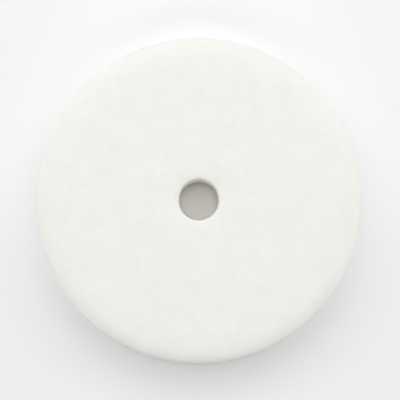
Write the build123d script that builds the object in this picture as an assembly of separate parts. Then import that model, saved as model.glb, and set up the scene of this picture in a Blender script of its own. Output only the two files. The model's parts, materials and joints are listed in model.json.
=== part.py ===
from build123d import *

import os

# Felt polishing wheel: plies of pressed wool felt, glued into a block, then turned and dressed to shape together.
# Millimetres. The wheel lies on its back face. The origin is the bore's centre on that face, and +Z runs along the
# bore towards the front face. Both faces have the same form, so that the wheel can be turned round as it wears.

wheel_diameter = 152.4
wheel_thickness = 25.4

arbor_diameter = 19.05  # the shaft that the bore is cut for
arbor_clearance = 0.1  # on the radius, so that the wheel slips on by hand

taper_width = 11.0  # the band inside the rim where each face falls away
taper_drop = 0.85  # the fall at the rim's corner, before that is rounded
rim_radius = 3.0

dish_width = 6.0  # the band round the bore where each face sinks
dish_drop = 0.5  # the fall at the bore's corner, before that is broken
lip_chamfer = 0.8

bond_thickness = 0.2  # the cured cement between two plies
bond_rim_margin = 2.0  # the cement stops this far short of the rim
bond_bore_margin = 1.5  # and this far short of the bore

ply_names = ["felt_ply_back", "felt_ply_inner_back", "felt_ply_inner_front", "felt_ply_front"]
bond_names = ["bond_film_back", "bond_film_middle", "bond_film_front"]

wheel_radius = wheel_diameter / 2
bore_radius = arbor_diameter / 2 + arbor_clearance
ply_thickness = (wheel_thickness - len(bond_names) * bond_thickness) / len(ply_names)
ply_pitch = ply_thickness + bond_thickness

STANDING = (Align.CENTER, Align.CENTER, Align.MIN)


def dressed_block():
    """The whole wheel's outer form: its half section, from the bore wall to the rim, turned about the bore's axis."""
    half_thickness = wheel_thickness / 2
    with BuildPart() as block:
        with BuildSketch(Plane.XZ) as section:
            with BuildLine():
                flat = Line(
                    (bore_radius + dish_width, half_thickness),
                    (wheel_radius - taper_width, half_thickness),
                )
                taper = Line(flat @ 1, (wheel_radius, half_thickness - taper_drop))
                dish = TangentArc(flat @ 0, (bore_radius, half_thickness - dish_drop), tangent=(flat % 0) * -1)
                mirror(about=Plane.XZ)
                Line(taper @ 1, (wheel_radius, taper_drop - half_thickness))
                Line(dish @ 1, (bore_radius, dish_drop - half_thickness))
            make_face()
            fillet(section.vertices().group_by(Axis.X)[-1], rim_radius)
            chamfer(section.vertices().group_by(Axis.X)[0], lip_chamfer)
        revolve(axis=Axis.Z)
    return Pos(0, 0, half_thickness) * block.part


def felt_ply(block, index):
    """One layer of the block, counted from the back."""
    layer = Cylinder(wheel_diameter, ply_thickness, align=STANDING)
    return block & Pos(0, 0, index * ply_pitch) * layer


def bond_film(index):
    """The cement on the front side of a ply, short of the rim and the bore so that neither sheds it."""
    bottom = index * ply_pitch + ply_thickness
    disc = Cylinder(wheel_radius - bond_rim_margin, bond_thickness, align=STANDING)
    hole = Cylinder(bore_radius + bond_bore_margin, bond_thickness, align=STANDING)
    return Pos(0, 0, bottom) * (disc - hole)


os.makedirs("parts", exist_ok=True)
block = dressed_block()
for index, name in enumerate(ply_names):
    export_step(felt_ply(block, index), f"parts/{name}.step")
for index, name in enumerate(bond_names):
    export_step(bond_film(index), f"parts/{name}.step")
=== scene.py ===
import json
import math
import random

import bpy
from mathutils import Matrix, Vector, noise


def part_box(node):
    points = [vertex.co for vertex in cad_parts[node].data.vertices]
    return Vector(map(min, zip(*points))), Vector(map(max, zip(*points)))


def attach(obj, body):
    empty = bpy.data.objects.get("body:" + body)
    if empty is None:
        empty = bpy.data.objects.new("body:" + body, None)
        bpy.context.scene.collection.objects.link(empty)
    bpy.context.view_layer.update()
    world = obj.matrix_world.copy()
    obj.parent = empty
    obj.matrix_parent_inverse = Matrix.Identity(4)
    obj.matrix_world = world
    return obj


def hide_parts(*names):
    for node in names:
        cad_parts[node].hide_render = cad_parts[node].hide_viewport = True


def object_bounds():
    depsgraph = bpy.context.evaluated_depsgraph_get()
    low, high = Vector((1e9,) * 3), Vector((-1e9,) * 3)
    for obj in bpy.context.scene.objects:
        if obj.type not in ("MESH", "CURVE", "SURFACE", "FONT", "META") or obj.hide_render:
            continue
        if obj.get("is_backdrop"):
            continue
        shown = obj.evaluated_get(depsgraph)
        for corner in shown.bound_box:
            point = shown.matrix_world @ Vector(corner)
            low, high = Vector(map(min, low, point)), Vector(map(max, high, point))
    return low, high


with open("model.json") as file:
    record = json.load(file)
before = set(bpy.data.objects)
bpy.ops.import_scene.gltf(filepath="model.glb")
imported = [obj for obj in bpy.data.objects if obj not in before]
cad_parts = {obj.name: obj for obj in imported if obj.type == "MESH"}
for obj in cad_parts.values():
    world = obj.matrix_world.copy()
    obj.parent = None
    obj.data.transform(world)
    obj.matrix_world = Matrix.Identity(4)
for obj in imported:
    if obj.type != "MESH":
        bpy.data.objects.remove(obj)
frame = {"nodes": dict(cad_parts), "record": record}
cad_low, cad_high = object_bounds()

MM = 0.001
UP = Vector((0, 0, 1))

# The wheel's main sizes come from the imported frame. Lengths are in metres. The bore is along Z.
bore_mount = next(m for m in frame["record"]["mounts"] if m["name"] == "arbor_bore")
BORE_RADIUS = bore_mount["dims"]["r_mm"] * MM
WHEEL_RADIUS = (cad_high.x - cad_low.x) / 2
MID_HEIGHT = (cad_low.z + cad_high.z) / 2
FILM_HOLE = min(v.co.xy.length for v in frame["nodes"]["bond_film_front"].data.vertices)
FILM_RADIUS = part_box("bond_film_front")[1].x

# How a face is dressed: flat, then a crown that falls away to a rounded rim, and a dish that sinks
# to the bore's lip.
CROWN_START = WHEEL_RADIUS - 16.7 * MM
CROWN_CURVE = 10.0  # change of slope for each metre across the crown
RIM_REACH = 8.0 * MM  # the rim's rounding is a quarter of an ellipse, this wide along the face
RIM_DROP = 2.4 * MM  # and this high
FRONT_DISH = 1.0 * MM  # its depth at the bore, if the lip weren't rounded
BACK_DISH = 0.4 * MM
DISH_REACH = 2.6 * MM  # over this distance the dish loses all but a third of its depth
FRONT_LIP = 1.5 * MM  # radius of the rounding; the front's lip is the more worn one
BACK_LIP = 0.6 * MM

BORE_NAP = 0.25 * MM  # the felt stands this far into the bore, until a shaft presses it down
BORE_OVAL = 0.05 * MM  # the bore is a little wider along Y than along X
BORE_REACH = 3.0 * MM  # the nap and the oval fade over this distance

# At a glued joint the felt swells past the cement, which stops short of the rim and the bore.
SEAM_SWELL = 0.085 * MM
SEAM_ROUNDING = 0.16 * MM
SEAM_FLAT = 0.25 * MM  # past the cement's edge the felt stays flat this far
SEAM_SWOLLEN = 3 * SEAM_FLAT  # and has its full swelling from here on
SEAM_SHARE = 0.75  # of the rounding, on average; it varies along the joint in two sizes of wave
SEAM_LONG_WAVE, SEAM_LONG_SHARE = 9 * MM, 0.9
SEAM_SHORT_WAVE, SEAM_SHORT_SHARE = 2.5 * MM, 0.5

# The felt's unevenness: its size across, its height, and where in the noise it starts.
RELIEF = (
    (15 * MM, 0.050 * MM, Vector((1.7, 0, 0))),
    (5.5 * MM, 0.028 * MM, Vector((9.0, 3.1, 11.9))),
    (2.3 * MM, 0.016 * MM, Vector((16.3, 6.2, 23.8))),
)

# Density of the felt's mesh: steps along its section, and segments of a ring from each radius on.
FACE_STEP = 0.6 * MM
DISH_STEP = 0.42 * MM
WALL_STEP = 0.5 * MM
RIM_STEPS = 20
LIP_STEPS = 6
SEAM_STEPS = 3
DENSE_FROM = 38 * MM
MEDIUM_FROM = 19 * MM
RING_SEGMENTS = ((DENSE_FROM, 800), (MEDIUM_FROM, 400), (0, 200))
GLUED_RINGS = (WHEEL_RADIUS * 0.75, DENSE_FROM * 0.85, MEDIUM_FROM * 0.85)  # one of each density
MEETING_ROUNDS = 40  # of coming nearer to where the lip meets the face

# The map for baking. Its rings run round a centre, from one map radius to another.
MAP_MIDDLE = (0.5, 0.5)
MAP_CORNERS = ((0.09, 0.09), (0.91, 0.91))
MAP_OUTSIDE = (0.03, 0.49)  # of an outer ply, from the bore over the face to the rim
MAP_BORE = (0.10, 0.22)
MAP_RIM = (0.26, 0.49)
MAP_HIDDEN = (0.085, 0.011)


# ---------------------------------------------------------------- the felt's section


def steps(start, stop, step):
    """Evenly spaced values from start to stop, both included."""
    count = max(1, math.ceil(abs(stop - start) / step))
    return [start + (stop - start) * i / count for i in range(count + 1)]


def face_fall(radius, dish):
    """How far a dressed face lies below its flat ring at this radius."""
    crown = max(0, radius - CROWN_START)
    return dish * math.exp((BORE_RADIUS - radius) / DISH_REACH) + CROWN_CURVE * crown**2 / 2


def face_slope(radius, dish):
    """How fast it falls there."""
    crown = max(0, radius - CROWN_START)
    return CROWN_CURVE * crown - dish / DISH_REACH * math.exp((BORE_RADIUS - radius) / DISH_REACH)


class Section:
    """A ply's half section.

    Each point has its outward direction, the share of the felt's relief that it shows, and whether
    it is on a seam's rounding.
    """

    def __init__(self):
        self.points = []

    def add(self, radius, height, out_radial, out_axial, relief=1.0, seam=False):
        size = math.hypot(out_radial, out_axial)
        self.points.append((radius, height, out_radial / size, out_axial / size, relief, seam))

    def arc(self, radius, height, size, first, last, count, seam=False):
        """An arc round this centre, between two angles in degrees."""
        for degrees in steps(first, last, abs(last - first) / count):
            a = math.radians(degrees)
            along, up = math.cos(a), math.sin(a)
            self.add(radius + size * along, height + size * up, along, up, seam=seam)

    def seam_edge(self, radius, height, first, last):
        """The soft edge of a ply at a glued joint."""
        self.arc(radius, height, SEAM_ROUNDING, first, last, SEAM_STEPS, seam=True)

    def wall(self, radius, heights, out):
        for height in heights:
            self.add(radius, height, out, 0)

    def glued_side(self, swollen, flat, up):
        """The side that the cement holds, between the swollen edges at the rim and the bore."""
        line = [
            (FILM_RADIUS + SEAM_SWOLLEN, swollen),
            (FILM_RADIUS + SEAM_FLAT, flat),
            *((radius, flat) for radius in GLUED_RINGS),
            (FILM_HOLE - SEAM_FLAT, flat),
            (FILM_HOLE - SEAM_SWOLLEN, swollen),
        ]
        for radius, height in line if up < 0 else reversed(line):
            self.add(radius, height, 0, up, relief=0)


class Island:
    """A part of the map: the section's points from first to last, laid out as rings."""

    def __init__(self, first, last, centre, radii):
        self.first, self.last, self.centre = first, last, centre
        self.inner, self.outer = radii


def lip_meeting(centre, fillet, dish):
    """The radius where the lip's fillet, with its centre at this radius, meets the dressed face."""
    radius = centre
    for _ in range(MEETING_ROUNDS):
        slope = abs(face_slope(radius, dish))
        radius = centre - fillet * slope / math.hypot(1, slope)
    return radius


def outer_ply_section(seam_height, top, dish, lip_fillet):
    """From the bore's seam, over the dressed face, to the rim's seam, and back under the ply."""
    s = Section()
    low = seam_height - SEAM_SWELL
    edge_height = low + SEAM_ROUNDING
    s.seam_edge(BORE_RADIUS + SEAM_ROUNDING, edge_height, 270, 180)

    lip_centre = BORE_RADIUS + lip_fillet
    lip_meets = lip_meeting(lip_centre, lip_fillet, dish)
    lip_slope = abs(face_slope(lip_meets, dish))
    lip_height = top - face_fall(lip_meets, dish) - lip_fillet / math.hypot(1, lip_slope)
    lip_ends = 90 + math.degrees(math.atan(lip_slope))
    s.wall(BORE_RADIUS, steps(edge_height, lip_height, WALL_STEP)[1:-1], -1)
    s.arc(lip_centre, lip_height, lip_fillet, 180, lip_ends, LIP_STEPS)

    rim_begin = WHEEL_RADIUS - RIM_REACH
    near_bore = steps(lip_meets, MEDIUM_FROM, DISH_STEP)[1:]
    for r in near_bore + steps(MEDIUM_FROM, rim_begin, FACE_STEP)[1:-1]:
        s.add(r, top - face_fall(r, dish), face_slope(r, dish), 1)
    for turn in steps(0, math.pi / 2, math.pi / 2 / RIM_STEPS):
        r = rim_begin + RIM_REACH * math.sin(turn)
        height = top - face_fall(r, dish) - RIM_DROP * (1 - math.cos(turn))
        out = face_slope(r, dish) * math.cos(turn) + RIM_DROP / RIM_REACH * math.sin(turn)
        s.add(r, height, out, math.cos(turn))

    s.wall(WHEEL_RADIUS, steps(height, edge_height, WALL_STEP)[1:-1], 1)
    s.seam_edge(WHEEL_RADIUS - SEAM_ROUNDING, edge_height, 0, -90)
    shown = len(s.points) - 1
    s.glued_side(low, seam_height, -1)
    return s.points, [
        Island(0, shown, MAP_MIDDLE, MAP_OUTSIDE),
        Island(shown, len(s.points), MAP_CORNERS[0], MAP_HIDDEN),
    ]


def inner_ply_section(low_seam, high_seam):
    """From the bore's lower seam, up its wall and over the top, down the rim and back under."""
    s = Section()
    low, high = low_seam - SEAM_SWELL, high_seam + SEAM_SWELL
    low_edge, high_edge = low + SEAM_ROUNDING, high - SEAM_ROUNDING
    walls = steps(low_edge, high_edge, WALL_STEP)[1:-1]
    s.seam_edge(BORE_RADIUS + SEAM_ROUNDING, low_edge, 270, 180)
    s.wall(BORE_RADIUS, walls, -1)
    s.seam_edge(BORE_RADIUS + SEAM_ROUNDING, high_edge, 180, 90)
    bore_shown = len(s.points) - 1
    s.glued_side(high, high_seam, 1)
    rim_begins = len(s.points)
    s.seam_edge(WHEEL_RADIUS - SEAM_ROUNDING, high_edge, 90, 0)
    s.wall(WHEEL_RADIUS, reversed(walls), 1)
    s.seam_edge(WHEEL_RADIUS - SEAM_ROUNDING, low_edge, 0, -90)
    rim_shown = len(s.points) - 1
    s.glued_side(low, low_seam, -1)
    return s.points, [
        Island(0, bore_shown, MAP_MIDDLE, MAP_BORE),
        Island(bore_shown, rim_begins, MAP_CORNERS[1], reversed(MAP_HIDDEN)),
        Island(rim_begins, rim_shown, MAP_MIDDLE, MAP_RIM),
        Island(rim_shown, len(s.points), MAP_CORNERS[0], MAP_HIDDEN),
    ]


# ---------------------------------------------------------------- the felt's mesh


def relief_at(point):
    return sum(height * noise.noise(point / size + start) for size, height, start in RELIEF)


def seam_softness(point):
    """The share of the seam's rounding here: the joint opens and closes a little on its way."""
    long_wave = SEAM_LONG_SHARE * noise.noise(point / SEAM_LONG_WAVE)
    return SEAM_SHARE + long_wave + SEAM_SHORT_SHARE * noise.noise(point / SEAM_SHORT_WAVE)


def bore_shift(radius, angle):
    """How much nearer to the axis the felt lies than in the section."""
    fade = math.exp((BORE_RADIUS - radius) / BORE_REACH)
    return fade * (BORE_NAP + BORE_OVAL * math.cos(2 * angle))


def place_ring(point, mirrored):
    """The vertices of one ring of the mesh."""
    radius, height, out_radial, out_axial, relief, seam = point
    if mirrored:
        height, out_axial = 2 * MID_HEIGHT - height, -out_axial
    count = next(segments for start, segments in RING_SEGMENTS if radius >= start)
    wall = BORE_RADIUS if radius < FILM_HOLE else WHEEL_RADIUS
    ring = []
    for k in range(count):
        a = math.tau * k / count
        radial = Vector((math.cos(a), math.sin(a), 0))
        here = radial * (radius - bore_shift(radius, a)) + UP * height
        if relief:
            if seam:
                softness = seam_softness(radial * wall + UP * height)
                here += radial * (radius - wall) * (softness - 1)
            here += (radial * out_radial + UP * out_axial) * relief_at(here) * relief
        ring.append(here)
    return ring


def ring_faces(first, second):
    """Faces between two rings of vertex numbers, where one may have twice as many as the other."""
    flipped = len(first) > len(second)
    few, many = (second, first) if flipped else (first, second)
    n = len(few)
    faces = []
    for k in range(n):
        a0, a1 = few[k], few[(k + 1) % n]
        if len(many) == n:
            faces.append((a0, many[k], many[(k + 1) % n], a1))
        else:
            b0, b1, b2 = many[2 * k], many[2 * k + 1], many[(2 * k + 2) % len(many)]
            faces += [(a0, b0, b1), (a0, b1, a1), (a1, b1, b2)]
    return [tuple(reversed(f)) for f in faces] if flipped else faces


def map_radii(points, island):
    """The map radius of each ring of an island, in step with the distance along the section."""
    n = len(points)
    numbers = [i % n for i in range(island.first, island.last + 1)]
    along = [0.0]
    for i, j in zip(numbers, numbers[1:]):
        along.append(along[-1] + math.dist(points[i][:2], points[j][:2]))
    return [island.inner + (island.outer - island.inner) * d / along[-1] for d in along]


def map_spots(ring, centre, radius):
    """The place on the map of each vertex of a ring."""
    angles = {vertex: math.tau * k / len(ring) for k, vertex in enumerate(ring)}
    return {
        vertex: (centre[0] + radius * math.cos(a), centre[1] + radius * math.sin(a))
        for vertex, a in angles.items()
    }


def revolve(name, points, islands, mirrored):
    """The closed mesh that a section makes round the bore's axis, with its map."""
    vertices, rings = [], []
    for point in points:
        ring = place_ring(point, mirrored)
        rings.append(range(len(vertices), len(vertices) + len(ring)))
        vertices += ring
    faces, corners = [], []
    for island in islands:
        radii = map_radii(points, island)
        for i, inner, outer in zip(range(island.first, island.last), radii, radii[1:]):
            ring, following = rings[i], rings[(i + 1) % len(rings)]
            spots = map_spots(ring, island.centre, inner)
            spots |= map_spots(following, island.centre, outer)
            for face in ring_faces(ring, following):
                face = tuple(reversed(face)) if mirrored else face
                faces.append(face)
                corners += [spots[v] for v in face]
    return build(name, vertices, faces, corners)


def build(name, vertices, faces, corners):
    mesh = bpy.data.meshes.new(name)
    mesh.from_pydata(vertices, [], faces)
    bake_map = mesh.uv_layers.new(name="OFBake")
    bake_map.uv.foreach_set("vector", [number for corner in corners for number in corner])
    mesh.shade_smooth()
    piece = bpy.data.objects.new(name, mesh)
    bpy.context.scene.collection.objects.link(piece)
    return piece


# ---------------------------------------------------------------- loose fibres

NAP_RADIUS = 0.024 * MM  # of one fibre, at its root
NAP_TAPER = 0.7  # the share of its thickness that a fibre loses on its way to the tip
NAP_STEPS = 6
NAP_SIDES = 3
NAP_LENGTH = (1.0 * MM, 3.2 * MM)
NAP_TURN = 0.8  # a fibre is no longer than this share of the radius that it bends round
NAP_LEAST_CURVE = 1.0  # a surface that curves less than this, in 1/m, counts as this curved
NAP_BEND = 0.45  # how far a fibre's end strays sideways, as a share of its length
NAP_RISE = (0.3, 1)  # the share of a crop's greatest height that one fibre rises to
NAP_ROOT = 0.12 * MM  # how deep the fibre starts in the felt
NAP_LOOPS = 0.4  # the share of fibres that go back into the felt at their end
NAP_ROOM = 0.3 * MM  # no fibre starts nearer than this to what the wheel stands on

# Each fibre has its own square cell of the map, with a margin round it that holds the root's end.
CELL_MARGIN, CELL_WIDTH = 0.1, 0.8
ROOT_SPOTS = ((-0.02, 0.0), (-0.02, 1.0), (-0.1, 0.5))


class Nap:
    """A crop of loose fibres on the felt's surface, as one mesh with its map."""

    def __init__(self, seed, count):
        self.rng = random.Random(seed)
        self.across = math.ceil(math.sqrt(count))
        self.grown = 0
        self.vertices, self.faces, self.corners = [], [], []

    def map_spot(self, *spot):
        """A spot in the cell of the fibre that is growing."""
        cell = divmod(self.grown, self.across)
        return tuple((n + CELL_MARGIN + CELL_WIDTH * s) / self.across for n, s in zip(cell, spot))

    def face(self, vertices, spots):
        self.faces.append(vertices)
        self.corners += [self.map_spot(*spot) for spot in spots]

    def grow(self, root, out, side, curvature, stand):
        """One tapered fibre that leaves the felt at root towards side.

        It follows the surface, which curves away from it.
        """
        rng = self.rng
        turn = out.cross(side)
        longest = NAP_TURN / max(abs(curvature), NAP_LEAST_CURVE)
        size = min(rng.uniform(*NAP_LENGTH), longest)
        bend = rng.uniform(-NAP_BEND, NAP_BEND) * size
        rise = stand * rng.uniform(*NAP_RISE) + NAP_ROOT
        looped = rng.random() < NAP_LOOPS

        def middle(t):
            lift = 4 * t * (1 - t) if looped else t * (2 - t)
            height = rise * lift - NAP_ROOT - curvature * (size * t) ** 2 / 2
            spot = root + side * size * t + turn * bend * t * t + out * height
            spot.z = max(spot.z, cad_low.z + NAP_RADIUS)
            return spot

        first = len(self.vertices)
        for i in range(NAP_STEPS):
            t = i / NAP_STEPS
            level = (side * size + turn * 2 * bend * t).cross(out).normalized()
            for k in range(NAP_SIDES):
                a = math.tau * k / NAP_SIDES
                away = level * math.cos(a) + out * math.sin(a)
                self.vertices.append(middle(t) + away * NAP_RADIUS * (1 - NAP_TAPER * t))
        self.vertices.append(middle(1))
        self.skin(first)
        self.grown += 1

    def skin(self, first):
        """The faces of a fibre whose vertices begin at this number."""
        tip = first + NAP_STEPS * NAP_SIDES
        for k in range(NAP_SIDES):
            near, far = k / NAP_SIDES, (k + 1) / NAP_SIDES
            following = (k + 1) % NAP_SIDES
            for i in range(NAP_STEPS - 1):
                low, high = first + i * NAP_SIDES, first + (i + 1) * NAP_SIDES
                t0, t1 = i / NAP_STEPS, (i + 1) / NAP_STEPS
                self.face(
                    (low + k, high + k, high + following, low + following),
                    ((t0, near), (t1, near), (t1, far), (t0, far)),
                )
            last = tip - NAP_SIDES
            t = 1 - 1 / NAP_STEPS
            self.face(
                (last + following, last + k, tip),
                ((t, far), (t, near), (1, (near + far) / 2)),
            )
        self.face(tuple(range(first, first + NAP_SIDES)), ROOT_SPOTS)

    def sow(self, points, mirrored, count, stand):
        """Fibres spread evenly over the part of a section that these points make."""
        areas = [math.dist(p[:2], q[:2]) * (p[0] + q[0]) for p, q in zip(points, points[1:])]
        for i in self.rng.choices(range(len(areas)), areas, k=count):
            share = self.rng.random()
            angle, way = self.rng.uniform(0, math.tau), self.rng.uniform(0, math.tau)
            low, high = (Vector(p[:4]) for p in points[i : i + 2])
            radius, height, out_radial, out_axial = low.lerp(high, share)
            gap = (high - low).to_2d()
            along = gap.normalized()
            turning = Vector((high[2] - low[2], high[3] - low[3])).dot(along) / gap.length
            if mirrored:
                height, out_axial, along.y = 2 * MID_HEIGHT - height, -out_axial, -along.y
                if height < cad_low.z + NAP_ROOM:
                    continue
            radial = Vector((math.cos(angle), math.sin(angle), 0))
            out = (radial * out_radial + UP * out_axial).normalized()
            side = (radial * along.x + UP * along.y) * math.cos(way)
            side += radial.cross(UP) * math.sin(way)
            curvature = turning * math.cos(way) ** 2 + out_radial / radius * math.sin(way) ** 2
            root = radial * (radius - bore_shift(radius, angle)) + UP * height
            root += out * relief_at(root)
            self.grow(root, out, side.normalized(), curvature, stand)


# ---------------------------------------------------------------- shader nodes

NOISE_RANGE = (0.3, 0.7)  # most values of a noise lie in it


def new_material(name):
    material = bpy.data.materials.new(name)
    material.use_nodes = True
    tree = material.node_tree
    place = tree.nodes.new("ShaderNodeTexCoord").outputs["Object"]
    return material, tree, tree.nodes["Principled BSDF"], place


def feed(tree, socket, source):
    if isinstance(source, bpy.types.NodeSocket):
        tree.links.new(source, socket)
    else:
        socket.default_value = source


def mapped(tree, vector, rotation=(0, 0, 0), scale=(1, 1, 1)):
    m = tree.nodes.new("ShaderNodeMapping")
    feed(tree, m.inputs["Vector"], vector)
    m.inputs["Rotation"].default_value = rotation
    m.inputs["Scale"].default_value = scale
    return m.outputs["Vector"]


def noise_texture(tree, vector, size=1.0, detail=2.0, colour=False):
    """Noise whose lumps are about this size, in metres if the vector is a place."""
    n = tree.nodes.new("ShaderNodeTexNoise")
    feed(tree, n.inputs["Vector"], vector)
    n.inputs["Scale"].default_value = 1 / size
    n.inputs["Detail"].default_value = detail
    return n.outputs["Color" if colour else "Fac"]


def maths(tree, operation, a, b=0.0, c=0.0):
    m = tree.nodes.new("ShaderNodeMath")
    m.operation = operation
    for socket, source in zip(m.inputs, (a, b, c)):
        feed(tree, socket, source)
    return m.outputs[0]


def vector_maths(tree, operation, a, b=(0, 0, 0), scale=None, output=0):
    m = tree.nodes.new("ShaderNodeVectorMath")
    m.operation = operation
    feed(tree, m.inputs[0], a)
    feed(tree, m.inputs[1], b)
    if scale is not None:
        m.inputs["Scale"].default_value = scale
    return m.outputs[output]


def length(tree, vector):
    return vector_maths(tree, "LENGTH", vector, output="Value")


def spread(tree, value, low, high, to_low=0.0, to_high=1.0):
    """The value moved from the range of low to high into that of to_low to to_high."""
    m = tree.nodes.new("ShaderNodeMapRange")
    m.clamp = True
    feed(tree, m.inputs["Value"], value)
    limits = (("From Min", low), ("From Max", high), ("To Min", to_low), ("To Max", to_high))
    for key, number in limits:
        m.inputs[key].default_value = number
    return m.outputs["Result"]


def lumpy(tree, vector, **look):
    """A noise's values spread over the range from 0 to 1."""
    return spread(tree, noise_texture(tree, vector, **look), *NOISE_RANGE)


def towards(tree, start, end, share):
    """From start to end by this share."""
    return maths(tree, "MULTIPLY_ADD", maths(tree, "SUBTRACT", end, start), share, start)


def mix_colours(tree, share, a, b):
    m = tree.nodes.new("ShaderNodeMix")
    m.data_type = "RGBA"
    feed(tree, m.inputs["Factor"], share)
    colours = [s for s in m.inputs if s.type == "RGBA"]
    for socket, source in zip(colours, (a, b)):
        feed(tree, socket, source if isinstance(source, bpy.types.NodeSocket) else (*source, 1))
    return next(s for s in m.outputs if s.type == "RGBA")


def bumped(tree, height, distance, strength, normal=None):
    b = tree.nodes.new("ShaderNodeBump")
    feed(tree, b.inputs["Height"], height)
    b.inputs["Distance"].default_value = distance
    b.inputs["Strength"].default_value = strength
    if normal is not None:
        tree.links.new(normal, b.inputs["Normal"])
    return b.outputs["Normal"]


def coat(tree, shader, colour, roughness, normal, constants):
    """Links what varies over the surface, and sets what doesn't on the shader's own sockets."""
    tree.links.new(colour, shader.inputs["Base Color"])
    tree.links.new(roughness, shader.inputs["Roughness"])
    tree.links.new(normal, shader.inputs["Normal"])
    for name, number in constants.items():
        shader.inputs[name].default_value = number


def show_mixed(tree, share, lit, shown, output):
    """Two shaders mixed by this share, on the tree's output."""
    mix = tree.nodes.new("ShaderNodeMixShader")
    tree.links.new(share, mix.inputs["Fac"])
    tree.links.new(lit, mix.inputs[1])
    tree.links.new(shown, mix.inputs[2])
    tree.links.new(mix.outputs["Shader"], output)


# ---------------------------------------------------------------- felt

FIBRE_WIDTH = 0.16 * MM
FIBRE_LENGTH = 2.4 * MM
FIBRE_WAYS = 5
FIBRE_STAGGER = 0.37  # every other way is turned by this share of the angle between two
FIBRE_BEND = 0.7 * MM
FIBRE_BEND_SIZE = 3.5 * MM
FIBRE_SHIFT = (13.1, 5.7, 9.3)  # between two ways, so that their noise doesn't line up
FIBRE_TOPS = (0.5, 0.8)  # the heights of the mat that show as fibres

TUFT_SIZE = 1.3 * MM
CLOUD_SIZE = 9 * MM
LAMINA_LENGTH = 8.0 * MM  # felt is laid down in thin sheets, which show where it is cut across
LAMINA_HEIGHT = 0.8 * MM

# The share of each kind in how light the felt is; on a cut wall, sheets take over from tufts.
FIBRE_SHARE = 0.55
LUMP_SHARE = 0.25
CLOUD_SHARE = 0.2
LAMINA_SHARE = 0.4

FELT_SHADE = (0.855, 0.855, 0.806)
FELT_LIGHT = (0.945, 0.945, 0.915)
BORE_SHADE = (0.945, 0.895, 0.80)  # the bore's wall is creamier and lighter than the faces: partly the cut felt's own tone, partly painted bounce light inside the hole
BORE_LIGHT = (0.975, 0.935, 0.86)
BORE_WALL = (BORE_RADIUS + 0.3 * MM, BORE_RADIUS + 0.8 * MM)  # the wall fades out between these
RIM_WALL = (WHEEL_RADIUS - 1.5 * MM, WHEEL_RADIUS - 0.3 * MM)  # and the rim's wall fades in
CREAM_AND_BOUNCE_FADE = (MID_HEIGHT - 4.0 * MM, MID_HEIGHT - 1.8 * MM)  # the painted bounce light and cream tint fade out between these distances from the middle, along the bore
FELT_ROUGHNESS = (1.0, 0.86)  # where it is dark, and where it is light
FELT_SURFACE = {"Specular IOR Level": 0.2, "Sheen Weight": 0.1, "Sheen Roughness": 0.6}
LUMP_BUMP = (0.06 * MM, 0.6)  # distance and strength
FIBRE_BUMP = (0.05 * MM, 0.7)


def fibre_mat(tree, place):
    """A mat of wool fibres that lie flat, each way at its own angle: high where one is on top."""
    drift = noise_texture(tree, place, FIBRE_BEND_SIZE, detail=1, colour=True)
    drift = vector_maths(tree, "SUBTRACT", drift, (0.5, 0.5, 0.5))
    drift = vector_maths(tree, "SCALE", drift, scale=FIBRE_BEND * 2)
    bent = vector_maths(tree, "ADD", place, drift)
    top = None
    for i in range(FIBRE_WAYS):
        angle = math.pi * (i + FIBRE_STAGGER * (i % 2)) / FIBRE_WAYS
        turned = mapped(tree, bent, rotation=(0, 0, angle))
        long = mapped(tree, turned, scale=(1 / FIBRE_LENGTH, 1 / FIBRE_WIDTH, 1 / FIBRE_WIDTH))
        shifted = vector_maths(tree, "ADD", long, tuple(n * i for n in FIBRE_SHIFT))
        strand = noise_texture(tree, shifted, detail=1)
        top = strand if top is None else maths(tree, "MAXIMUM", top, strand)
    return top


def felt_material():
    material, tree, shader, place = new_material("wool_felt")
    from_axis = length(tree, vector_maths(tree, "MULTIPLY", place, (1, 1, 0)))
    from_middle = vector_maths(tree, "SUBTRACT", place, (0, 0, MID_HEIGHT))
    from_middle = length(tree, vector_maths(tree, "MULTIPLY", from_middle, (0, 0, 1)))
    in_bore = spread(tree, from_axis, *BORE_WALL, 1, 0)
    cut = maths(tree, "MAXIMUM", in_bore, spread(tree, from_axis, *RIM_WALL))

    fibres = spread(tree, fibre_mat(tree, place), *FIBRE_TOPS)
    tufts = lumpy(tree, place, size=TUFT_SIZE, detail=3)
    clouds = lumpy(tree, place, size=CLOUD_SIZE)
    flat = mapped(tree, place, scale=(1 / LAMINA_LENGTH, 1 / LAMINA_LENGTH, 1 / LAMINA_HEIGHT))
    laminae = lumpy(tree, flat)
    lumps = towards(tree, tufts, laminae, cut)
    clouded = maths(tree, "MULTIPLY", clouds, CLOUD_SHARE)
    share = maths(tree, "MULTIPLY_ADD", lumps, LUMP_SHARE, clouded)
    share = maths(tree, "MULTIPLY_ADD", fibres, FIBRE_SHARE, share)
    share = towards(tree, share, laminae, maths(tree, "MULTIPLY", cut, LAMINA_SHARE))

    colour = mix_colours(tree, share, FELT_SHADE, FELT_LIGHT)
    # the bore's wall tone: partly the cut felt's own cream, partly painted bounce light that
    # lightens and warms the wall inside the hole
    cream_and_bounce = mix_colours(tree, share, BORE_SHADE, BORE_LIGHT)
    deep = spread(tree, from_middle, *CREAM_AND_BOUNCE_FADE, 1, 0)
    # painted bounce light and cream tint on the bore's wall, full in the middle and fading out
    # towards the mouths
    colour = mix_colours(tree, maths(tree, "MULTIPLY", in_bore, deep), colour, cream_and_bounce)
    roughness = spread(tree, share, 0, 1, *FELT_ROUGHNESS)
    normal = bumped(tree, fibres, *FIBRE_BUMP, bumped(tree, lumps, *LUMP_BUMP))
    coat(tree, shader, colour, roughness, normal, FELT_SURFACE)
    return material


# ---------------------------------------------------------------- loose wool, cement and table

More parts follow.
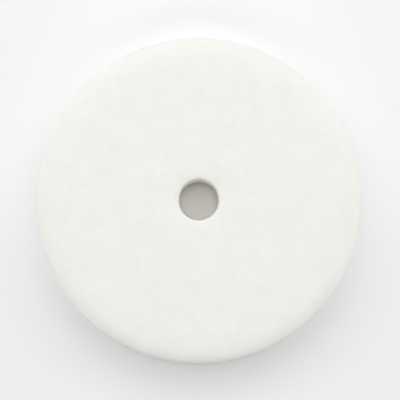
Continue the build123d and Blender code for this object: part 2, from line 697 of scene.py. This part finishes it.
WOOL_SHADE = (0.90, 0.90, 0.85)
WOOL_LIGHT = (0.96, 0.96, 0.93)
WOOL_HUE_SIZE = 2.5 * MM
WOOL_SCALE_SIZE = 0.05 * MM  # the scales on a wool fibre
WOOL_ROUGHNESS = (0.55, 0.8)
WOOL_BUMP = (0.004 * MM, 0.5)
WOOL_SURFACE = {"Specular IOR Level": 0.3, "Sheen Weight": 0.15, "Sheen Roughness": 0.5}

CEMENT_SHADE = (0.58, 0.49, 0.30)
CEMENT_LIGHT = (0.80, 0.73, 0.56)
CEMENT_RUN_SIZE, CEMENT_RUN_SHARE = 6 * MM, 0.6
CEMENT_SOAK_SIZE, CEMENT_SOAK_SHARE = 0.5 * MM, 0.4  # where it soaks into the felt
CEMENT_SOAK_RANGE = (0.35, 0.65)
CEMENT_ROUGHNESS = (0.35, 0.6)
CEMENT_BUMP = (0.1 * MM, 0.5)

TABLE_COLOUR = (0.901, 0.9, 0.909)
TABLE_SHADE = tuple(c * 0.995 for c in TABLE_COLOUR)
TABLE_GRAIN_SIZE = 40 * MM
TABLE_ROUGHNESS, TABLE_SPECULAR = 0.9, 0.1
TABLE_FADE = (0.15, 0.7)  # the table turns into the backdrop between these distances
BACKDROP = (0.93, 0.935, 0.945, 1)


def wool_material():
    material, tree, shader, place = new_material("loose_wool")
    hue = lumpy(tree, place, size=WOOL_HUE_SIZE)
    scales = noise_texture(tree, place, WOOL_SCALE_SIZE, detail=1)
    colour = mix_colours(tree, hue, WOOL_SHADE, WOOL_LIGHT)
    roughness = spread(tree, scales, 0, 1, *WOOL_ROUGHNESS)
    coat(tree, shader, colour, roughness, bumped(tree, scales, *WOOL_BUMP), WOOL_SURFACE)
    return material


def cement_material():
    material, tree, shader, place = new_material("bond_cement")
    runs = lumpy(tree, place, size=CEMENT_RUN_SIZE, detail=4)
    soaked = noise_texture(tree, place, CEMENT_SOAK_SIZE, detail=3)
    soaked = spread(tree, soaked, *CEMENT_SOAK_RANGE)
    share = maths(tree, "MULTIPLY", soaked, CEMENT_SOAK_SHARE)
    share = maths(tree, "MULTIPLY_ADD", runs, CEMENT_RUN_SHARE, share)
    colour = mix_colours(tree, share, CEMENT_SHADE, CEMENT_LIGHT)
    roughness = spread(tree, soaked, 0, 1, *CEMENT_ROUGHNESS)
    coat(tree, shader, colour, roughness, bumped(tree, share, *CEMENT_BUMP), {})
    return material


def seen_ray(tree):
    """1 for a ray that shows the background to the camera, also by a shiny or clear surface."""
    path = tree.nodes.new("ShaderNodeLightPath")
    shiny = maths(
        tree, "MAXIMUM", path.outputs["Is Glossy Ray"], path.outputs["Is Transmission Ray"]
    )
    return maths(tree, "MAXIMUM", path.outputs["Is Camera Ray"], shiny)


def table_material():
    material, tree, shader, place = new_material("pale_table")
    grain = noise_texture(tree, place, TABLE_GRAIN_SIZE, detail=3)
    colour = mix_colours(tree, grain, TABLE_SHADE, TABLE_COLOUR)
    tree.links.new(colour, shader.inputs["Base Color"])
    shader.inputs["Roughness"].default_value = TABLE_ROUGHNESS
    shader.inputs["Specular IOR Level"].default_value = TABLE_SPECULAR
    plain = tree.nodes.new("ShaderNodeEmission")
    plain.inputs["Color"].default_value = BACKDROP
    plain.inputs["Strength"].default_value = 1
    far = spread(tree, length(tree, place), *TABLE_FADE)
    share = maths(tree, "MULTIPLY", far, seen_ray(tree))
    output = tree.nodes["Material Output"].inputs["Surface"]
    show_mixed(tree, share, shader.outputs["BSDF"], plain.outputs["Emission"], output)
    return material


# ---------------------------------------------------------------- the wheel

LIP_END = BORE_RADIUS + 2.5 * MM
RIM_START = WHEEL_RADIUS - 5 * MM
FACE_FIBRES, FACE_STAND = 1300, 0.16 * MM  # how many fibres, and how high they rise at most
RIM_FIBRES, RIM_STAND = 1100, 0.4 * MM
LIP_FIBRES, LIP_STAND = 160, 0.25 * MM
WALL_FIBRES = 700

felt = felt_material()
loose_wool = wool_material()
cement = cement_material()


def dress(piece, material, *cad_nodes):
    piece.data.materials.append(material)
    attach(piece, "root")
    if cad_nodes:
        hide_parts(*cad_nodes)


def felt_layer(cad_node, points, islands, crops, seed, mirrored=False):
    """The felt that takes the place of a ply, and the crops of loose fibres on it."""
    layer = revolve(cad_node.replace("ply", "layer"), points, islands, mirrored)
    dress(layer, felt, cad_node)
    nap = Nap(seed, sum(count for _, count, _ in crops))
    for stretch, count, stand in crops:
        nap.sow(stretch, mirrored, count, stand)
    fibres = build(cad_node.replace("ply", "nap"), nap.vertices, nap.faces, nap.corners)
    dress(fibres, loose_wool)


front_low, front_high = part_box("felt_ply_front")
for cad_node, mirrored, dish, lip_fillet, seed in (
    ("felt_ply_front", False, FRONT_DISH, FRONT_LIP, 21),
    ("felt_ply_back", True, BACK_DISH, BACK_LIP, 22),
):
    points, islands = outer_ply_section(front_low.z, front_high.z, dish, lip_fillet)
    outside = points[: islands[0].last + 1]
    face = [p for p in outside if LIP_END < p[0] < RIM_START]
    rim = [p for p in outside if p[0] > RIM_START]
    lip = [p for p in outside if p[0] < LIP_END and p[3] > 0]
    crops = (
        (face, FACE_FIBRES, FACE_STAND),
        (rim, RIM_FIBRES, RIM_STAND),
        (lip, LIP_FIBRES, LIP_STAND),
    )
    felt_layer(cad_node, points, islands, crops, seed, mirrored)
for cad_node, seed in (("felt_ply_inner_front", 23), ("felt_ply_inner_back", 24)):
    low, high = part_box(cad_node)
    points, islands = inner_ply_section(low.z, high.z)
    wall = points[islands[2].first : islands[2].last + 1]
    felt_layer(cad_node, points, islands, ((wall, WALL_FIBRES, RIM_STAND),), seed)
for cad_node in ("bond_film_front", "bond_film_middle", "bond_film_back"):
    for slot in frame["nodes"][cad_node].material_slots:
        slot.link = "OBJECT"
        slot.material = cement

# ---------------------------------------------------------------- the table and the light

FLOOR_SIZE = 12.0
FLOOR_GAP = 0.05 * MM  # under the wheel, so that the two surfaces don't fight
AMBIENT = 0.03

# name, azimuth from +Y towards +X, elevation, distance, width, height, and its share of the light
LAMPS = (
    ("top_lamp", 0, 85, 2.0, 0.5, 0.5, 0.185),
    ("key_lamp", 0, 50, 1.2, 0.8, 0.8, 0.095),
    ("wide_lamp", 0, 50, 1.6, 2.4, 0.6, 0.14),
    ("low_lamp", 0, 35, 1.5, 2.8, 0.5, 0.125),
    ("front_lamp", 180, 45, 2.0, 2.0, 0.6, 0.155),
    ("left_lamp", -65, 60, 2.0, 1.0, 1.0, 0.115),
    ("right_lamp", 65, 60, 2.0, 1.0, 1.0, 0.115),
    ("left_low_lamp", -60, 35, 2.0, 1.0, 0.6, 0.053),
    ("right_low_lamp", 60, 35, 2.0, 1.0, 0.6, 0.053),
    ("left_rim_lamp", -90, 10, 2.0, 1.6, 0.5, 0.036),
    ("right_rim_lamp", 90, 10, 2.0, 1.6, 0.5, 0.036),
)


def area_lamp(name, azimuth, elevation, distance, width, height, share):
    """A soft lamp aimed at the wheel.

    The share is what a small lamp would give of the light at which a flat face shows its colour as
    written. A wide lamp gives less, so the shares and the ambient light add up to 1.14, not to 1.
    """
    data = bpy.data.lights.new(name, "AREA")
    data.shape = "RECTANGLE"
    data.size, data.size_y = width, height
    a, e = math.radians(azimuth), math.radians(elevation)
    away = Vector((math.sin(a) * math.cos(e), math.cos(a) * math.cos(e), math.sin(e)))
    data.energy = share * math.pi**2 * distance**2 / math.sin(e)
    lamp = bpy.data.objects.new(name, data)
    lamp.location = UP * cad_high.z + away * distance
    lamp.rotation_mode = "QUATERNION"
    lamp.rotation_quaternion = (-away).to_track_quat("-Z", "Y")
    bpy.context.scene.collection.objects.link(lamp)


bpy.ops.mesh.primitive_plane_add(size=FLOOR_SIZE, location=(0, 0, cad_low.z - FLOOR_GAP))
floor = bpy.context.object
floor.name = "pale_floor"
floor.data.materials.append(table_material())
floor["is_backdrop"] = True

for lamp in LAMPS:
    area_lamp(*lamp)

world = bpy.data.worlds.new("studio")
bpy.context.scene.world = world
world.use_nodes = True
tree = world.node_tree
light = tree.nodes["Background"]
light.inputs["Color"].default_value = (1, 1, 1, 1)
light.inputs["Strength"].default_value = AMBIENT
seen = tree.nodes.new("ShaderNodeBackground")
seen.inputs["Color"].default_value = BACKDROP
seen.inputs["Strength"].default_value = 1
lit, shown = light.outputs["Background"], seen.outputs["Background"]
show_mixed(tree, seen_ray(tree), lit, shown, tree.nodes["World Output"].inputs["Surface"])

# ---------------------------------------------------------------- the camera

CAMERA_HEIGHT = 384 * MM  # above the face
CAMERA_ASIDE = 1.3 * MM
CAMERA_BACK = 9.3 * MM
CAMERA_NEAR, CAMERA_FAR = 0.01, 100
SENSOR_WIDTH = 36
VIEW_WIDTH = 185.3 * MM  # across the picture, at the face
AIM = Vector((0.6 * MM, 0, cad_high.z))

camera_data = bpy.data.cameras.new("camera")
camera_data.sensor_width = SENSOR_WIDTH
camera_data.lens = SENSOR_WIDTH / 2 / (VIEW_WIDTH / 2 / CAMERA_HEIGHT)
camera_data.clip_start, camera_data.clip_end = CAMERA_NEAR, CAMERA_FAR
camera = bpy.data.objects.new("camera", camera_data)
camera.location = Vector((CAMERA_ASIDE, -CAMERA_BACK, cad_high.z + CAMERA_HEIGHT))
camera.rotation_mode = "QUATERNION"
gaze = (AIM - camera.location).normalized()
right = gaze.cross(Vector((0, 1, 0))).normalized()
above = right.cross(gaze)
camera.rotation_quaternion = Matrix((right, above, -gaze)).transposed().to_quaternion()
bpy.context.scene.collection.objects.link(camera)
bpy.context.scene.camera = camera
bpy.context.scene.view_settings.view_transform = "Standard"

low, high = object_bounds()
